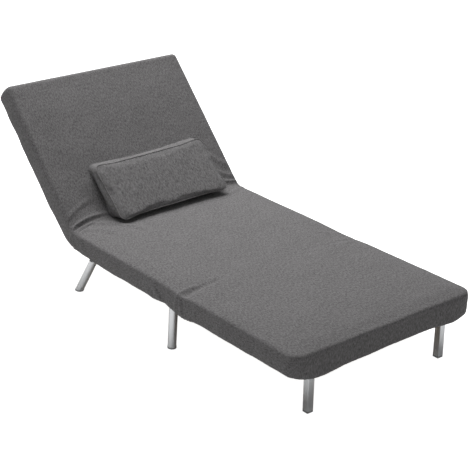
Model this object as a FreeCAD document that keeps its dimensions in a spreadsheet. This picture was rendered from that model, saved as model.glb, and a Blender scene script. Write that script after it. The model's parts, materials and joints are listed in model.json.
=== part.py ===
import FreeCAD, Part
import math
import os
import Sketcher

from FreeCAD import Placement, Rotation, Vector

doc = FreeCAD.newDocument("ChairBed")

# Driving sizes in millimetres and degrees.
# "Reach" is a distance from the foot edge of the bed, "Inset" one from its side.
SIZES = [
    ("BedWidth", 800),
    ("BedLength", 1894),
    ("HemHeight", 157),
    ("CushionDepth", 85),
    ("RestAngle", 46.5),
    ("ClickAngle", 15.5),
    ("ClickCount", 5),
    ("BackPivotReach", 1254.6),
    ("BackPivotRise", 30),
    ("FootHingeReach", 550),
    ("FootHingeDrop", 6),
    ("CoverSkin", 2.5),
    ("SoftGap", 0.4),
    ("TopRound", 24),
    ("HemRound", 9),
    ("PlanCorner", 28),
    ("SidePull", 4),
    ("Crown", 6),
    ("HemWrap", 18),
    ("RailSize", 20),
    ("RailWall", 1.5),
    ("RailCorner", 1.2),
    ("RailLift", 4),
    ("SeatRailInset", 22),
    ("FootRailInset", 60),
    ("EndTubeInset", 22.8),
    ("SeatRailEnd", 16),
    ("BackRailStart", 36),
    ("SeatRearTubeReach", 1140),
    ("BackLowTubeStart", 112),
    ("SlatBreadth", 50),
    ("SlatThickness", 6),
    ("SlatArch", 4),
    ("ClipFloor", 1.5),
    ("ClipLength", 34),
    ("FootSlats", 5),
    ("SeatSlats", 5),
    ("BackSlats", 5),
    ("LegNotchLength", 196),
    ("LegNotchGap", 4),
    ("RoundLegSize", 30),
    ("RoundLegWall", 1.5),
    ("RoundLegInset", 19),
    ("MiddleLegReach", 634),
    ("MiddleLegSplay", 10),
    ("RearLegReach", 1115),
    ("RearLegSplay", 103),
    ("StudSize", 12),
    ("FootCapRise", 14),
    ("FootCapSkin", 1),
    ("SquareLegSize", 25),
    ("SquareLegWall", 1.5),
    ("SquareLegCorner", 2.5),
    ("SquareLegInset", 102),
    ("SquareLegReach", 46),
    ("SquareLegPivotRise", 11),
    ("BracketWall", 3),
    ("LegBoltSize", 8),
    ("PlateThickness", 4),
    ("PlateGap", 0.3),
    ("PlateArm", 90),
    ("SectorRadius", 30),
    ("ToothDepth", 4),
    ("PawlLead", 24),
    ("PawlClearance", 0.8),
    ("PawlPivotOut", 52),
    ("PawlPivotUp", 14),
    ("PawlEar", 12),
    ("PawlHub", 7),
    ("PawlPinSize", 6),
    ("SpringThickness", 1.2),
    ("PivotBoltSize", 10),
    ("HolePlay", 0.1),
    ("LeafThickness", 3),
    ("LeafLength", 72),
    ("LeafReach", 24),
    ("HingePinSize", 5),
    ("KnuckleWall", 2.5),
    ("FootHingeSpread", 170),
    ("PillowWidth", 480),
    ("PillowHeight", 228),
    ("PillowDepth", 88),
    ("PillowStart", 20),
    ("PillowShift", -15),
    ("PillowPull", 7),
]

sheet = doc.addObject("Spreadsheet::Sheet", "Sizes")
for row, (alias, number) in enumerate(SIZES, start=1):
    sheet.set("A%d" % row, alias)
    sheet.set("B%d" % row, str(number))
    sheet.setAlias("B%d" % row, alias)
doc.recompute()


def size(text):
    """The value of a sheet expression, its cell names written without the sheet's own."""
    return float(sheet.evalExpression(text))


def formula(text):
    """The same expression, as an object's property takes it."""
    words = sorted((alias for alias, _ in SIZES), key=len, reverse=True)
    for number, word in enumerate(words):
        text = text.replace(word, "#%d#" % number)
    for number, word in enumerate(words):
        text = text.replace("#%d#" % number, "Sizes." + word)
    return text


HALF = size("BedWidth / 2")
HEM = size("HemHeight")
TOP = size("HemHeight + CushionDepth")
RAIL_LOW = size("HemHeight + RailLift")
RAIL_TOP = size("HemHeight + RailLift + RailSize")
RAIL_MID = size("HemHeight + RailLift + RailSize / 2")
SLAT_LOW = RAIL_TOP + size("ClipFloor")
SLAT_CREST = SLAT_LOW + size("SlatThickness + SlatArch")
PIVOT_Y = size("BackPivotReach")
PIVOT_Z = size("HemHeight + BackPivotRise")
HINGE_Y = size("FootHingeReach")
HINGE_Z = size("HemHeight - FootHingeDrop")
SEAT_RAIL_X = size("BedWidth / 2 - SeatRailInset")
FOOT_RAIL_X = size("BedWidth / 2 - FootRailInset")
BACK_RAIL_X = size("BedWidth / 2 - SeatRailInset - PlateThickness - PlateGap")
SQUARE_LEG_X = size("BedWidth / 2 - SquareLegInset")
ROUND_LEG_X = size("BedWidth / 2 - RoundLegInset")
TUBE_HALF = size("RailSize / 2")
SEAT_PLATE_X = SEAT_RAIL_X - TUBE_HALF - size("PlateThickness / 2")
BACK_PLATE_X = BACK_RAIL_X - TUBE_HALF - size("PlateThickness / 2")

# The bed is drawn flat, from its foot edge, and the back is then turned up to its rest angle.
# The reach of the raised back's rounded top corner sets the middle of the part.
REST = math.radians(size("RestAngle"))
TOP_CORNER_OUT = size("BedLength - BackPivotReach - HemRound")
TOP_CORNER_DOWN = size("BackPivotRise - HemRound")
REST_REACH = (PIVOT_Y + TOP_CORNER_OUT * math.cos(REST) + TOP_CORNER_DOWN * math.sin(REST)
              + size("HemRound") * 0.8)
MIDDLE = Placement(Vector(0, -REST_REACH / 2, 0), Rotation())
PIVOT = Vector(0, PIVOT_Y, PIVOT_Z)
RAISED = Placement(Vector(0, 0, 0), Rotation(Vector(1, 0, 0), size("RestAngle")), PIVOT)
SECTION = {"seat": MIDDLE, "foot": MIDDLE, "back": MIDDLE * RAISED}
SIDES = [("left", -1), ("right", 1)]
nodes = []


def keep(piece, name, section, place=None):
    """Names a sub-part and puts it in its section of the bed."""
    piece.Label = name
    piece.Placement = SECTION[section] * (place or Placement())
    nodes.append(piece)
    return piece


def keep_shape(shape, name, section):
    """A sub-part whose form is given whole, in the flat bed's own coordinates."""
    piece = doc.addObject("Part::Feature", "form_" + name)
    piece.Shape = shape
    return keep(piece, name, section, shape.Placement)


def new_body(name):
    body = doc.addObject("PartDesign::Body", "body_" + name)
    body.Label = name
    return body


def new_sketch(body, role, suffix):
    sketch = body.newObject("Sketcher::SketchObject", suffix + body.Name)
    plane = [feature for feature in body.Origin.OriginFeatures if feature.Role == role][0]
    sketch.AttachmentSupport = [(plane, "")]
    sketch.MapMode = "FlatFace"
    return sketch


def add_square(sketch, side):
    """A square about the sketch's origin whose side follows a sheet expression."""
    half = size(side) / 2
    corners = [Vector(-half, -half, 0), Vector(half, -half, 0), Vector(half, half, 0), Vector(-half, half, 0)]
    first = sketch.GeometryCount
    for index in range(4):
        sketch.addGeometry(Part.LineSegment(corners[index], corners[(index + 1) % 4]), False)
    for index in range(4):
        following = first + (index + 1) % 4
        sketch.addConstraint(Sketcher.Constraint("Coincident", first + index, 2, following, 1))
    for index, kind in enumerate(["Horizontal", "Vertical", "Horizontal", "Vertical"]):
        sketch.addConstraint(Sketcher.Constraint(kind, first + index))
    sketch.addConstraint(Sketcher.Constraint("Symmetric", first, 1, first + 2, 1, -1, 1))
    for kind, line in [("DistanceX", first), ("DistanceY", first + 1)]:
        index = sketch.addConstraint(Sketcher.Constraint(kind, line, 1, line, 2, 2 * half))
        sketch.setExpression("Constraints[%d]" % index, formula(side))


def add_outline(sketch, edges):
    for edge in edges:
        sketch.addGeometry(edge, False)


def pad(body, sketch, length):
    """A pad of the sketch to both sides of its plane."""
    feature = body.newObject("PartDesign::Pad", "Pad" + sketch.Name)
    feature.Profile = sketch
    feature.Midplane = True
    feature.setExpression("Length", formula(length))
    sketch.Visibility = False
    return feature


def pocket_through(body, sketch):
    feature = body.newObject("PartDesign::Pocket", "Pocket" + sketch.Name)
    feature.Profile = sketch
    feature.Midplane = True
    feature.Type = "ThroughAll"
    return feature


def long_edges(shape, direction):
    """The names of the outer straight edges that run along a direction."""
    names = []
    reach = max(abs(value) for vertex in shape.Vertexes for value in side_of(vertex.Point, direction))
    for number, edge in enumerate(shape.Edges, start=1):
        if not isinstance(edge.Curve, Part.Line):
            continue
        start, end = edge.Vertexes[0].Point, edge.Vertexes[-1].Point
        along = abs((end - start).normalize().dot(direction)) > 0.999
        outside = all(abs(abs(value) - reach) < 0.01 for value in side_of(start, direction))
        if along and outside:
            names.append("Edge%d" % number)
    return names


def side_of(point, direction):
    return [value for value, along in zip(point, direction) if abs(along) < 0.5]


def square_tube(name, section, length, along, centre):
    """A square steel tube about a centre, its long edges taken off."""
    body = new_body(name)
    role = "YZ_Plane" if along.x else "XZ_Plane"
    sketch = new_sketch(body, role, "profile_")
    add_square(sketch, "RailSize")
    add_square(sketch, "RailSize - 2 * RailWall")
    base = pad(body, sketch, length)
    doc.recompute()
    edges_off = body.newObject("PartDesign::Chamfer", "edges_" + name)
    edges_off.Base = (base, long_edges(base.Shape, along))
    edges_off.setExpression("Size", formula("RailCorner"))
    return keep(body, name, section, Placement(centre, Rotation()))


def line(first, second):
    return Part.LineSegment(Vector(*first, 0), Vector(*second, 0))


def polar(radius, degrees):
    angle = math.radians(degrees)
    return (radius * math.cos(angle), radius * math.sin(angle))


def arc(radius, start, end, centre=(0, 0)):
    """An arc about a centre, from one angle to another, either way round."""
    ends = [polar(radius, degrees) for degrees in (start, (start + end) / 2, end)]
    points = [Vector(centre[0] + x, centre[1] + y, 0) for x, y in ends]
    return Part.Arc(*points)


def chain(points):
    return [line(first, second) for first, second in zip(points, points[1:])]


def side_plate(name, section, edges, holes, thickness, centre):
    """A flat plate cut to an outline seen from the side of the bed, with round holes."""
    body = new_body(name)
    sketch = new_sketch(body, "YZ_Plane", "outline_")
    add_outline(sketch, edges)
    for x, y, radius in holes:
        sketch.addGeometry(Part.Circle(Vector(x, y, 0), Vector(0, 0, 1), radius), False)
    pad(body, sketch, thickness)
    return keep(body, name, section, Placement(centre, Rotation()))


def cylinder(centre, radius, length, along=Vector(1, 0, 0)):
    return Part.makeCylinder(radius, length, centre - along * (length / 2), along)


def box(low, high):
    return Part.makeBox(high[0] - low[0], high[1] - low[1], high[2] - low[2], Vector(*low))


# Cushions. One crowned form runs the whole length of the flat bed, and each section takes its stretch.
def plan_outline(inset, height, pull):
    """The bed's outline at one height: sides that pull in a little between rounded corners."""
    corner = max(size("PlanCorner") - inset * 0.5, 6)
    low_x, high_x = -HALF + inset, HALF - inset
    low_y, high_y = inset, size("BedLength") - inset
    return rounded_outline(low_x, high_x, low_y, high_y, corner, pull, height)


def rounded_outline(low_x, high_x, low_y, high_y, corner, pull, height):
    """A closed outline in short straight runs: bowed-in sides between rounded corners."""
    middle = Vector((low_x + high_x) / 2, (low_y + high_y) / 2, height)
    half_x, half_y = (high_x - low_x) / 2, (high_y - low_y) / 2
    points = []
    for turn in range(4):
        ahead, across = (half_x, half_y) if turn % 2 == 0 else (half_y, half_x)
        side = [(ahead - pull * (1 - share ** 2), share * (across - corner)) for share in (-1, 0)]
        bend = [(ahead - corner + x, across - corner + y) for x, y in
                (polar(corner, angle) for angle in (0, 30, 60))]
        spin = Rotation(Vector(0, 0, 1), 90 * turn)
        points += [middle + spin.multVec(Vector(x, y, 0)) for x, y in side + bend]
    return points


def flat_face(points):
    return Part.Face(Part.makePolygon(points + points[:1]))


def stacked(outlines):
    """A closed solid through level outlines of as many points each, in flat facets."""
    faces = [flat_face(outlines[0]), flat_face(outlines[-1])]
    for low, high in zip(outlines, outlines[1:]):
        for here in range(len(low)):
            ahead = (here + 1) % len(low)
            faces.append(flat_face([low[here], low[ahead], high[ahead]]))
            faces.append(flat_face([low[here], high[ahead], high[here]]))
    solid = Part.Solid(Part.Shell(faces))
    if solid.Volume < 0:
        solid.reverse()
    return solid


def top_profile(top, radius, crown):
    """Heights and insets of a rounded top edge that runs on into the crown."""
    steps = [(radius * (1 - math.sin(math.radians(a))), radius * (1 - math.cos(math.radians(a))))
             for a in (0, 38, 70)]
    edge = [(top - down, inset) for down, inset in steps]
    return edge + [(top + crown * 0.55, radius * 2.5), (top + crown, radius * 7)]


def cushion(skin):
    """The whole cushion form, drawn in by a skin on every side."""
    hem_round = size("HemRound")
    levels = [(HEM, hem_round), (HEM + hem_round * 0.4, hem_round * 0.2), (HEM + hem_round * 1.2, 0)]
    levels += top_profile(TOP, size("TopRound"), size("Crown"))
    full = size("CushionDepth + Crown")
    shrink = (full - 2 * skin) / full
    outlines = []
    for height, inset in levels:
        drawn = HEM + skin + (height - HEM) * shrink
        outlines.append(plan_outline(inset + skin, drawn, size("SidePull")))
    return stacked(outlines)


def prism(outline):
    """A block across the bed whose side outline is given in reach and height."""
    points = [Vector(-HALF * 1.2, y, z) for y, z in outline]
    face = Part.Face(Part.makePolygon(points + points[:1]))
    return face.extrude(Vector(HALF * 2.4, 0, 0))


ABOVE = TOP + size("CushionDepth")
BELOW = HEM - size("CushionDepth")
WEDGE = math.tan(math.radians((size("ClickAngle * ClickCount") + 1) / 2))
BUTT = 2 * size("SoftGap")


def wedge_end(side):
    """The end of the seat (-1) or back (+1) at the recline pivot, cut back so that they fold."""
    start = PIVOT_Y + side * 2.5 * BUTT
    return [(start, BELOW), (start, PIVOT_Z), (start + side * WEDGE * (ABOVE - PIVOT_Z), ABOVE)]


STRETCH = {
    "foot": [(-HALF, BELOW), (HINGE_Y - BUTT, BELOW), (HINGE_Y - BUTT, ABOVE), (-HALF, ABOVE)],
    "seat": [(HINGE_Y + BUTT, BELOW)] + wedge_end(-1) + [(HINGE_Y + BUTT, ABOVE)],
    "back": [(size("2 * BedLength"), BELOW), (size("2 * BedLength"), ABOVE)] + wedge_end(1)[::-1],
}


def leg_notches(skin):
    """Room at the foot section's sides for the middle legs, which it passes when it folds under."""
    inner = ROUND_LEG_X - size("RoundLegSize / 2 + FootCapSkin + LegNotchGap") - skin
    start = HINGE_Y - size("LegNotchLength") - skin
    blocks = []
    for side in (-1, 1):
        low, high = sorted((side * inner, side * HALF * 1.2))
        block = box((low, start, BELOW), (high, HINGE_Y + 1, ABOVE))
        upright = [e for e in block.Edges if abs(e.tangentAt(0).z) > 0.9 and abs(e.CenterOfMass.y - start) < 1
                   and abs(e.CenterOfMass.x - side * inner) < 1]
        blocks.append(block.makeFillet(size("LegNotchGap * 3"), upright))
    return blocks


def hinge_pockets():
    """Room in the foam for the ratchet plates, the pawl and their bolt heads."""
    room = size("SoftGap * 10")
    wide = size("PlateThickness * 2 + PivotBoltSize") + room
    toward_seat = size("SectorRadius") + room
    toward_back = size("PlateArm") + room
    lift = size("PawlPivotUp + PawlEar") + 2 * room
    blocks = []
    for side in (-1, 1):
        middle = side * (SEAT_PLATE_X - size("PlateThickness / 2"))
        low = (middle - wide, PIVOT_Y - toward_seat, BELOW)
        blocks.append(box(low, (middle + wide, PIVOT_Y + toward_back, PIVOT_Z + lift)))
    return blocks


OUTER = cushion(0)
LINING = cushion(size("CoverSkin"))
FILLING = cushion(size("CoverSkin + SoftGap"))


def stud_holes():
    holes = []
    for side in (-1, 1):
        for reach in (size("MiddleLegReach"), size("RearLegReach")):
            half = size("StudSize / 2 + SoftGap * 2")
            x = side * ROUND_LEG_X
            holes.append(box((x - half, reach - half, BELOW), (x + half, reach + half, RAIL_LOW)))
    return holes


def cover(name):
    """The fitted cover: an open-ended skin whose elastic hem turns in under the frame."""
    wrap = size("HemRound + HemWrap")
    opening = box((-HALF + wrap, wrap, BELOW), (HALF - wrap, size("BedLength") - wrap, HEM + size("CoverSkin * 1.5")))
    if name == "foot":
        outer = OUTER.cut(leg_notches(0))
        lining = LINING.cut(leg_notches(size("CoverSkin")))
    else:
        outer, lining = OUTER, LINING
    stretch = prism(STRETCH[name])
    return outer.common(stretch).cut([lining, opening] + stud_holes())


def frame_recess(name):
    """The underside of a foam pad is cut out for its frame and slats."""
    gap = size("SoftGap")
    outer = {"foot": FOOT_RAIL_X, "seat": SEAT_RAIL_X, "back": BACK_RAIL_X}[name] + TUBE_HALF + gap
    start = size("EndTubeInset - RailSize / 2") - gap
    end = size("BedLength - EndTubeInset + RailSize / 2") + gap
    return box((-outer, start, BELOW), (outer, end, SLAT_CREST + gap))


def foam(name):
    """The foam pad, carried by the slats, whose rim comes down round the frame."""
    shape = FILLING.common(prism(STRETCH[name])).cut(frame_recess(name))
    if name == "foot":
        return shape.cut(leg_notches(size("CoverSkin + SoftGap")))
    return shape.cut(hinge_pockets())


for section in ("foot", "seat", "back"):
    keep_shape(cover(section), section + "_cover", section)
    keep_shape(foam(section), section + "_foam", section)


# Frames: square side rails with cross tubes butted between them.
RAIL_AXIS = Vector(0, 1, 0)
TUBE_AXIS = Vector(1, 0, 0)


def side_rails(section, x, start, length):
    for side_name, side in SIDES:
        middle = Vector(side * x, start + size(length) / 2, RAIL_MID)
        square_tube("%s_rail_%s" % (section, side_name), section, length, RAIL_AXIS, middle)


def cross_tube(name, section, length, reach):
    square_tube(name, section, length, TUBE_AXIS, Vector(0, reach, RAIL_MID))


FOOT_TUBE_MID = size("FootHingeReach - FootHingeDrop - RailSize / 2")
SEAT_TUBE_MID = size("FootHingeReach + FootHingeDrop + RailSize / 2")
FRONT_TUBE_MID = size("EndTubeInset")
TOP_TUBE_MID = size("BedLength - EndTubeInset")
FOOT_RAIL_LENGTH = "FootHingeReach - FootHingeDrop - EndTubeInset - RailSize * 1.5"
SEAT_RAIL_LENGTH = "BackPivotReach - SeatRailEnd - FootHingeReach - FootHingeDrop"
BACK_RAIL_LENGTH = "BedLength - EndTubeInset - RailSize / 2 - BackPivotReach - BackRailStart"
side_rails("foot", FOOT_RAIL_X, FRONT_TUBE_MID + TUBE_HALF, FOOT_RAIL_LENGTH)
side_rails("seat", SEAT_RAIL_X, size("FootHingeReach + FootHingeDrop"), SEAT_RAIL_LENGTH)
side_rails("back", BACK_RAIL_X, size("BackPivotReach + BackRailStart"), BACK_RAIL_LENGTH)
cross_tube("foot_front_tube", "foot", "BedWidth - 2 * FootRailInset + RailSize", FRONT_TUBE_MID)
cross_tube("foot_hinge_tube", "foot", "BedWidth - 2 * FootRailInset + RailSize", FOOT_TUBE_MID)
SEAT_BETWEEN = "BedWidth - 2 * SeatRailInset - RailSize"
BACK_BETWEEN = SEAT_BETWEEN + " - 2 * PlateThickness - 2 * PlateGap"
cross_tube("seat_hinge_tube", "seat", SEAT_BETWEEN, SEAT_TUBE_MID)
cross_tube("seat_rear_tube", "seat", SEAT_BETWEEN, size("SeatRearTubeReach"))
cross_tube("back_low_tube", "back", BACK_BETWEEN, size("BackPivotReach + BackLowTubeStart"))
cross_tube("back_top_tube", "back", BACK_BETWEEN + " + 2 * RailSize - 2 * RailCorner", TOP_TUBE_MID)


# Sprung slats, bowed a little upward, each end held in a moulded clip on its rail.
def slat(rail_x, reach, room):
    """A bowed slat, or with some room the space that it needs in its clips."""
    half = rail_x + room
    arch = size("SlatArch")
    wide = size("SlatBreadth") + 2 * room
    low = [Vector(-half, 0, SLAT_LOW - room), Vector(0, 0, SLAT_LOW - room + arch), Vector(half, 0, SLAT_LOW - room)]
    high = [point + Vector(0, 0, size("SlatThickness") + 2 * room) for point in low]
    edges = [Part.Arc(*low).toShape(), Part.makeLine(low[2], high[2]),
             Part.Arc(*high).toShape(), Part.makeLine(high[0], low[0])]
    face = Part.Face(Part.Wire(Part.sortEdges(edges)[0]))
    return face.extrude(Vector(0, wide, 0)).translated(Vector(0, reach - wide / 2, 0))


def slat_clip(rail_x, side, reach):
    """A moulded cup round one slat end, standing on the rail."""
    length = size("ClipLength")
    outer = side * (rail_x + size("ClipFloor"))
    low, high = sorted((outer, outer - side * length))
    half = size("SlatBreadth / 2 + ClipFloor")
    height = size("SlatThickness + ClipFloor * 2 + SlatArch / 4")
    cup = box((low, reach - half, RAIL_TOP), (high, reach + half, RAIL_TOP + height))
    return cup.cut(slat(rail_x, reach, size("HolePlay")))


def slat_row(section, rail_x, start, end, count):
    """Evenly spaced slats between two cross tubes, with their clips."""
    slats, clips = [], []
    for index in range(count):
        reach = start + (end - start) * (index + 0.5) / count
        slats.append(slat(rail_x, reach, 0))
        clips += [slat_clip(rail_x, side, reach) for side in (-1, 1)]
    keep_shape(Part.makeCompound(slats), section + "_slats", section)
    keep_shape(Part.makeCompound(clips), section + "_slat_clips", section)


slat_row("foot", FOOT_RAIL_X, size("SquareLegReach + SquareLegSize"), FOOT_TUBE_MID, int(size("FootSlats")))
slat_row("seat", SEAT_RAIL_X, SEAT_TUBE_MID, size("SeatRearTubeReach"), int(size("SeatSlats")))
slat_row("back", BACK_RAIL_X, size("BackPivotReach + BackLowTubeStart"), TOP_TUBE_MID, int(size("BackSlats")))


# Round legs: steel tubes that splay to the rear, cut level at the top and on the floor.
def slanted(top_reach, splay, radius, wall):
    """A tube along the leg's line, longer than the leg at both ends."""
    top = Vector(0, top_reach, HEM)
    direction = Vector(0, splay, -HEM).normalize()
    start = top - direction * HEM / 2
    length = HEM * 2.2
    tube = Part.makeCylinder(radius, length, start, direction)
    if wall:
        tube = tube.cut(Part.makeCylinder(radius - wall, length, start, direction))
    return tube


def slab(low, high):
    reach = size("BedLength")
    return box((-HALF, -reach, low), (HALF, 2 * reach, high))


def round_leg(name, reach, splay):
    radius = size("RoundLegSize / 2")
    head = HEM - size("SoftGap")
    tube = slanted(reach, splay, radius, size("RoundLegWall"))
    tube = tube.common(slab(size("FootCapRise / 2"), head))
    plug = slanted(reach, splay, radius - size("RoundLegWall / 2"), 0)
    plug = plug.common(slab(head - size("RoundLegWall * 3"), head))
    stud = Part.makeCylinder(size("StudSize / 2"), RAIL_LOW - head + 1, Vector(0, reach, head - 1))
    leg = tube.fuse([plug, stud]).removeSplitter()
    skin = size("FootCapSkin")
    cap = slanted(reach, splay, radius + skin, 0).common(slab(0, size("FootCapRise / 2")))
    for side_name, side in SIDES:
        shift = Vector(side * ROUND_LEG_X, 0, 0)
        keep_shape(leg.translated(shift), "%s_leg_%s" % (name, side_name), "seat")
        keep_shape(cap.translated(shift), "%s_leg_foot_%s" % (name, side_name), "seat")


round_leg("middle", size("MiddleLegReach"), size("MiddleLegSplay"))
round_leg("rear", size("RearLegReach"), size("RearLegSplay"))


# Square front legs: each turns on a bolt in a bracket and folds into the depth of the frame.
LEG_PIVOT_Y = size("SquareLegReach")
LEG_PIVOT_Z = size("HemHeight + SquareLegPivotRise")


def square_leg(name, side):
    """A square tube with rounded edges, under a plain eye that turns between the bracket's cheeks."""
    body = new_body(name)
    half = size("SquareLegSize / 2")
    low = size("FootCapRise / 2") - LEG_PIVOT_Z
    high = -size("SquareLegPivotRise")
    section = new_sketch(body, "XY_Plane", "section_")
    section.AttachmentOffset = Placement(Vector(0, 0, low), Rotation())
    add_square(section, "SquareLegSize")
    tube = body.newObject("PartDesign::Pad", "tube_" + name)
    tube.Profile = section
    tube.setExpression("Length", formula("HemHeight - FootCapRise / 2"))
    doc.recompute()
    rounding = body.newObject("PartDesign::Fillet", "round_" + name)
    rounding.Base = (tube, long_edges(tube.Shape, Vector(0, 0, 1)))
    rounding.setExpression("Radius", formula("SquareLegCorner"))
    doc.recompute()
    eye = new_sketch(body, "YZ_Plane", "eye_")
    add_outline(eye, [arc(half, 180, 0)] + chain([(half, 0), (half, high), (-half, high), (-half, 0)]))
    pad(body, eye, "SquareLegSize")
    bore = new_sketch(body, "XY_Plane", "bore_")
    bore.AttachmentOffset = Placement(Vector(0, 0, low), Rotation())
    add_square(bore, "SquareLegSize - 2 * SquareLegWall")
    hollow = body.newObject("PartDesign::Pocket", "hollow_" + name)
    hollow.Profile = bore
    hollow.Reversed = True
    hollow.setExpression("Length", formula("HemHeight - FootCapRise / 2"))
    hole = new_sketch(body, "YZ_Plane", "hole_")
    hole.addGeometry(Part.Circle(Vector(0, 0, 0), Vector(0, 0, 1), size("LegBoltSize / 2 + HolePlay")), False)
    pocket_through(body, hole)
    return keep(body, name, "foot", Placement(Vector(side * SQUARE_LEG_X, LEG_PIVOT_Y, LEG_PIVOT_Z), Rotation()))


def leg_cap(name, side):
    """The plastic cap on the leg's end, with a spigot up inside the tube."""
    half = size("SquareLegSize / 2")
    inner = half - size("SquareLegWall + HolePlay")
    low = size("FootCapRise / 2")
    foot = box((-half, -half, 0), (half, half, low))
    upright = [edge for edge in foot.Edges if abs(edge.tangentAt(0).z) > 0.9]
    foot = foot.makeFillet(size("SquareLegCorner"), upright)
    spigot = box((-inner, -inner, low - 1), (inner, inner, low + size("FootCapRise")))
    shape = foot.fuse(spigot).translated(Vector(side * SQUARE_LEG_X, LEG_PIVOT_Y, 0))
    keep_shape(shape.removeSplitter(), name, "foot")


def leg_bracket(name, side):
    """Two cheeks under a plate that is welded on the front tube."""
    wall = size("BracketWall")
    inner = size("SquareLegSize / 2 + SoftGap")
    outer = inner + wall
    front = FRONT_TUBE_MID + TUBE_HALF
    back = LEG_PIVOT_Y + size("SquareLegSize / 2 + BracketWall")
    lift = size("SlatThickness / 3")
    plate = box((-outer, FRONT_TUBE_MID - TUBE_HALF / 2, RAIL_TOP), (outer, back, RAIL_TOP + lift))
    shape = plate
    for cheek_side in (-1, 1):
        low, high = sorted((cheek_side * inner, cheek_side * outer))
        cheek = box((low, front, HEM + size("CoverSkin")), (high, back, RAIL_TOP + lift / 2))
        shape = shape.fuse(cheek)
    bolt_hole = cylinder(Vector(0, LEG_PIVOT_Y, LEG_PIVOT_Z), size("LegBoltSize / 2 + HolePlay"), 6 * outer)
    shape = shape.removeSplitter().cut(bolt_hole)
    keep_shape(shape.translated(Vector(side * SQUARE_LEG_X, 0, 0)), name, "foot")


def hexagon(centre, across, length):
    """A hexagonal bolt head or nut about an axis across the bed."""
    radius = across / math.sqrt(3)
    points = [centre + Vector(0, *polar(radius, 60 * step)) for step in range(7)]
    return Part.Face(Part.makePolygon(points)).extrude(Vector(length, 0, 0))


def leg_bolt(side):
    bolt = size("LegBoltSize")
    outer = size("SquareLegSize / 2 + SoftGap + BracketWall")
    centre = Vector(0, LEG_PIVOT_Y, LEG_PIVOT_Z)
    shank = cylinder(centre, bolt / 2, 2 * outer + bolt * 1.2)
    head = hexagon(centre + Vector(outer, 0, 0), bolt * 1.6, bolt * 0.6)
    nut = hexagon(centre - Vector(outer + bolt * 0.6, 0, 0), bolt * 1.6, bolt * 0.6)
    shape = shank.fuse([head, nut]).removeSplitter()
    return shape.translated(Vector(side * SQUARE_LEG_X, 0, 0))


for side_name, side in SIDES:
    square_leg("front_leg_" + side_name, side)
    leg_cap("front_leg_foot_" + side_name, side)
    leg_bracket("front_leg_bracket_" + side_name, side)
keep_shape(Part.makeCompound([leg_bolt(side) for _, side in SIDES]), "front_leg_bolts", "foot")


# Foot hinges: butt hinges under the two cross tubes, their pins below the hem.
def leaf(direction, barrels, play):
    """A hinge leaf under its tube, with knuckles over the given stretches of the pin."""
    thick = size("LeafThickness")
    half = size("LeafLength / 2")
    knuckle = size("HingePinSize / 2 + KnuckleWall")
    start = knuckle * 0.6
    low, high = sorted((HINGE_Y + direction * start, HINGE_Y + direction * (size("LeafReach") + start)))
    shape = box((-half, low, RAIL_LOW - thick), (half, high, RAIL_LOW))
    for begin, end in barrels:
        middle = Vector((begin + end) / 2, HINGE_Y, HINGE_Z)
        barrel = cylinder(middle, knuckle, end - begin)
        rise = sorted((HINGE_Y + direction * (knuckle - thick), HINGE_Y + direction * knuckle))
        arm = box((begin, rise[0], HINGE_Z), (end, rise[1], RAIL_LOW))
        web_low, web_high = sorted((HINGE_Y + direction * (knuckle - thick), high if direction > 0 else low))
        web = box((begin, web_low, RAIL_LOW - thick), (end, web_high, RAIL_LOW))
        shape = shape.fuse([barrel, arm, web])
    bore = cylinder(Vector(0, HINGE_Y, HINGE_Z), size("HingePinSize / 2") + play, 4 * half)
    return shape.removeSplitter().cut(bore)


def foot_hinges():
    half = size("LeafLength / 2")
    third = half / 3
    gap = size("SoftGap")
    play = size("HolePlay")
    spread = size("FootHingeSpread")
    seat_leaf = leaf(1, [(-half, -third - gap), (third + gap, half)], play)
    foot_leaf = leaf(-1, [(-third, third)], play)
    pin = cylinder(Vector(0, HINGE_Y, HINGE_Z), size("HingePinSize / 2"), 2 * half + size("KnuckleWall"))
    pins = []
    for side_name, side in SIDES:
        shift = Vector(side * spread, 0, 0)
        keep_shape(seat_leaf.translated(shift), "seat_hinge_leaf_" + side_name, "seat")
        keep_shape(foot_leaf.translated(shift), "foot_hinge_leaf_" + side_name, "foot")
        pins.append(pin.translated(shift))
    keep_shape(Part.makeCompound(pins), "foot_hinge_pins", "seat")


foot_hinges()


# Ratchet recliner: a toothed sector on the seat rail, and a sprung pawl on the back's plate.
TIP = size("SectorRadius")
ROOT = size("SectorRadius - ToothDepth")
ARM_LOW = RAIL_LOW - PIVOT_Z
ARM_HIGH = RAIL_TOP - PIVOT_Z
ARM = size("PlateArm")
PITCH = size("ClickAngle")
TEETH = int(size("ClickCount")) + 2
FIRST_TOOTH = size("PawlLead") - PITCH * 1.2
PAWL = (size("PawlPivotOut"), size("PawlPivotUp"))
EAR = size("PawlEar")
HUB = size("PawlHub")
PIVOT_HOLE = (0, 0, size("PivotBoltSize / 2 + HolePlay"))
PAWL_HOLE = (PAWL[0], PAWL[1], size("PawlPinSize / 2 + HolePlay"))


def foot_of_head(radius, base):
    """How far out a round head meets the level lower edge of its arm."""
    return math.sqrt(max(radius ** 2 - base ** 2, 0))


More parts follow.
